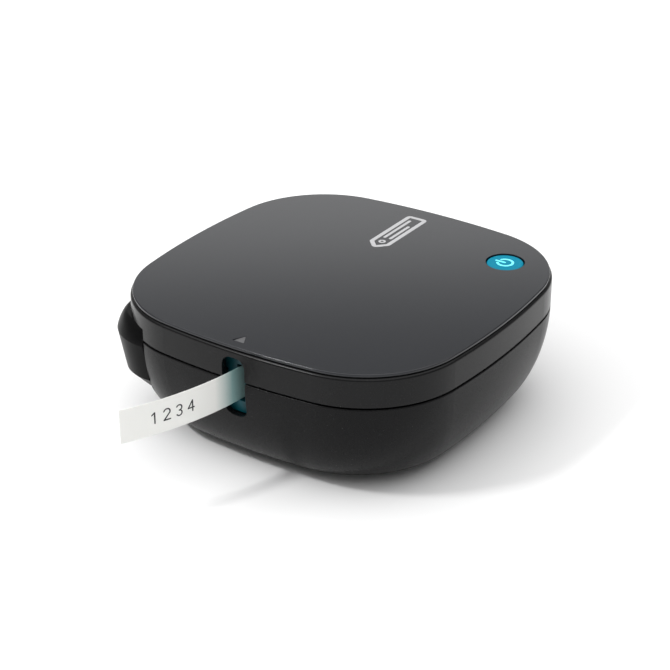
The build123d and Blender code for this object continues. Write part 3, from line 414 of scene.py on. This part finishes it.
def addEmblem():
    left, right, front, back = (emblem[side] for side in ("left", "right", "front", "back"))
    middle = (front + back) / 2
    shoulderX = left + emblem["point"]
    corners = ((left, middle), (shoulderX, front), (right, front), (right, back), (shoulderX, back))
    parts = [strokeMesh(roundedPath(corners, emblem["corner"]), emblem["stroke"], plateSurface, closed=True)]
    hole = arcPath((shoulderX + emblem["holeInset"], middle), emblem["hole"], 0, 350)
    parts.append(strokeMesh(hole, emblem["holeStroke"], plateSurface, closed=True))
    start = shoulderX + emblem["lineInset"]
    for side, short in ((1, emblem["longEnd"]), (-1, emblem["shortEnd"])):
        y = middle + side * emblem["lineApart"]
        parts.append(strokeMesh(linePath((start, y), (right - short, y)), emblem["lineStroke"], plateSurface))
    buildPiece("plate_emblem", parts, markGrey, "lid")


addEmblem()

# Power symbol: an open ring with a bar in its gap, with a little emission as a painted glow.
symbol = {"ring": 2.7 * mm, "stroke": 0.85 * mm, "gap": 33.0, "barFrom": 0.2 * mm, "barTo": 3.5 * mm,
          "colour": (0.16, 0.88, 1.0), "paintedGlow": 0.3}


def addPowerSymbol():
    material, tree, shader = newMaterial("symbolCyan", symbol["colour"], 0.35)
    # painted glow: emission on a printed mark that is no lamp
    shader.inputs["Emission Color"].default_value = (*symbol["colour"], 1)
    shader.inputs["Emission Strength"].default_value = symbol["paintedGlow"]
    bumpFrom(tree, shader, objectNoise(tree, 6000.0), 0.1, 0.02 * mm)
    ring = arcPath((keyX, keyY), symbol["ring"], 90 + symbol["gap"], 450 - symbol["gap"], 48)
    bar = linePath((keyX, keyY + symbol["barFrom"]), (keyX, keyY + symbol["barTo"]))
    parts = [strokeMesh(path, symbol["stroke"], keySurface) for path in (ring, bar)]
    buildPiece("power_symbol", parts, material, "power_key")


addPowerSymbol()

# Arrow mark: a satin fill in the plate's pocket, lower at its base than at its tip.
arrow = {"base": 4.5 * mm, "length": 4.5 * mm, "half": 2.3 * mm, "middle": 0.9 * mm, "deep": 0.3 * mm,
         "shallow": 0.06 * mm, "margin": 0.08 * mm, "corner": 0.15 * mm, "thick": 0.04 * mm,
         "grey": (0.08, 0.08, 0.083)}


def addArrowFill():
    material, tree, shader = newMaterial("arrowGrey", arrow["grey"], 0.4)
    bumpFrom(tree, shader, objectNoise(tree, 4000.0), 0.1, 0.02 * mm)
    base = caseLeft + arrow["base"] + arrow["margin"]
    tip = base + arrow["length"] - 3 * arrow["margin"]
    half = arrow["half"] - 2 * arrow["margin"]
    corners = ((base, arrow["middle"] - half), (tip, arrow["middle"]), (base, arrow["middle"] + half))
    outline = roundedPath(corners, arrow["corner"], 5)
    share = (outline[:, 0] - base) / (tip - base)
    upper = plateTop - arrow["deep"] * (1 - share) - arrow["shallow"] * share
    count = len(outline)
    topRing = np.column_stack((outline, upper))
    lowRing = np.column_stack((outline, np.full(count, plateTop - arrow["deep"] - arrow["thick"])))
    points = np.concatenate((topRing, lowRing, [topRing.mean(0), lowRing.mean(0)]))
    ring = np.arange(count)
    after = (ring + 1) % count
    faces = [(a, b, 2 * count) for a, b in zip(ring, after)]
    faces += [(count + b, count + a, 2 * count + 1) for a, b in zip(ring, after)]
    faces += [(a, count + a, count + b) for a, b in zip(ring, after)]
    faces += [(a, count + b, b) for a, b in zip(ring, after)]
    buildPiece("arrow_fill", [(points, faces)], material, "lid")


addArrowFill()

# Sample print on the tape's outer face: four thin spaced figures.
sample = {"start": 9.3 * mm, "pitch": 4.3 * mm, "width": 2.2 * mm, "height": 3.8 * mm, "stroke": 0.46 * mm,
          "curlRadius": 110.0 * mm, "curlInset": 14.5 * mm, "halfTape": 0.09 * mm,
          "proud": 0.02 * mm, "sunk": 0.01 * mm, "ink": (0.012, 0.012, 0.014)}
tapeLow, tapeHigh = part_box("label_tape")


# The face is a cylinder about an upright axis behind the curl: x is kept, y follows the circle.
def tapeSurface(u, v, height):
    axisX = caseLeft + sample["curlInset"]
    outer = sample["curlRadius"] + sample["halfTape"]
    axisY = tapeLow.y + outer
    across = (u - axisX) / outer
    deep = np.sqrt(1 - across**2)
    radius = outer + height
    return np.stack((axisX + radius * across, axisY - radius * deep, v), 1)


def figurePaths():
    w, h = sample["width"], sample["height"]
    bowl = h / 4
    one = [linePath((0.2 * w, 0.8 * h), (0.6 * w, h)), linePath((0.6 * w, h), (0.6 * w, 0))]
    two = [arcPath((0.5 * w, h - bowl), 0.48 * w, 165, -35, 20),
           linePath((0.5 * w + 0.39 * w, h - bowl - 0.27 * w), (0.02 * w, 0)),
           linePath((0.02 * w, 0), (w, 0))]
    three = [arcPath((0.48 * w, h - bowl), bowl, 150, -90, 22), arcPath((0.48 * w, bowl), bowl, 90, -150, 22)]
    four = [linePath((0.75 * w, 0), (0.75 * w, h)), linePath((0.75 * w, h), (0, 0.32 * h)),
            linePath((0, 0.32 * h), (w, 0.32 * h))]
    return one, two, three, four


def addSamplePrint():
    material, tree, shader = newMaterial("printInk", sample["ink"], 0.5)
    bumpFrom(tree, shader, objectNoise(tree, 5000.0), 0.15, 0.02 * mm)
    low = (tapeLow.z + tapeHigh.z) / 2 - sample["height"] / 2
    parts = []
    for index, strokes in enumerate(figurePaths()):
        place = np.array((tapeLow.x + sample["start"] + index * sample["pitch"], low))
        for path in strokes:
            parts.append(strokeMesh(path + place, sample["stroke"], tapeSurface,
                                    proud=sample["proud"], sunk=sample["sunk"]))
    buildPiece("label_print", parts, material, "base")


addSamplePrint()
print("marks done")

# floor, light and camera

stage = {"floorHalf": 6.0, "floorPale": (0.94, 0.94, 0.94), "worldLight": 0.3}
lamps = {"overhead": ((0, 0, 3.0), (0, 0, 0), (6.0, 6.0), 165),             # place, target, size, power
         "backCard": ((1.05, 0.72, 0.42), (0, 0, 0.1), (1.6, 0.42), 2.3),
         "edgeLamp": ((-0.565, 0.4, 0.8), (-0.06, -0.02, 0.045), (0.14, 0.05), 3.6)}
view = {"azimuth": -56.15, "elevation": 27.29, "lens": 101.3, "sensor": 36, "place": (-0.4906, -0.3256),
        "above": 0.28066}                                                   # above the plate


def addFloor():
    mesh = bpy.data.meshes.new("floor")
    half = stage["floorHalf"]
    corners = [(-half, -half, 0), (half, -half, 0), (half, half, 0), (-half, half, 0)]
    mesh.from_pydata(corners, [], [(0, 1, 2, 3)])
    floor = bpy.data.objects.new("floor", mesh)
    bpy.context.scene.collection.objects.link(floor)
    material, tree, shader = newMaterial("floorPale", stage["floorPale"], 0.9, ior=1.1)
    mesh.materials.append(material)


def aimAt(item, target):
    way = Vector(target) - item.location
    item.rotation_euler = way.to_track_quat("-Z", "Y").to_euler()


def addArea(name, place, target, size, power):
    light = bpy.data.lights.new(name, "AREA")
    light.shape = "RECTANGLE"
    light.size, light.size_y = size
    light.energy = power
    lamp = bpy.data.objects.new(name, light)
    bpy.context.scene.collection.objects.link(lamp)
    lamp.location = place
    lamp.visible_camera = False
    aimAt(lamp, target)


addFloor()
for name, setting in lamps.items():
    addArea(name, *setting)

world = bpy.data.worlds.new("studio")
world.use_nodes = True
world.node_tree.nodes["Background"].inputs["Color"].default_value = (1, 1, 1, 1)
world.node_tree.nodes["Background"].inputs["Strength"].default_value = stage["worldLight"]
bpy.context.scene.world = world
bpy.context.scene.view_settings.view_transform = "Standard"

lens = bpy.data.cameras.new("camera")
lens.lens = view["lens"]
lens.sensor_width = view["sensor"]
eye = bpy.data.objects.new("camera", lens)
bpy.context.scene.collection.objects.link(eye)
turn = math.radians(view["azimuth"])
lift = math.radians(view["elevation"])
back = Vector((math.sin(turn) * math.cos(lift), -math.cos(turn) * math.cos(lift), math.sin(lift)))
eye.location = Vector((*view["place"], plateTop + view["above"]))
eye.rotation_euler = back.to_track_quat("Z", "Y").to_euler()
bpy.context.scene.camera = eye
print("stage done")
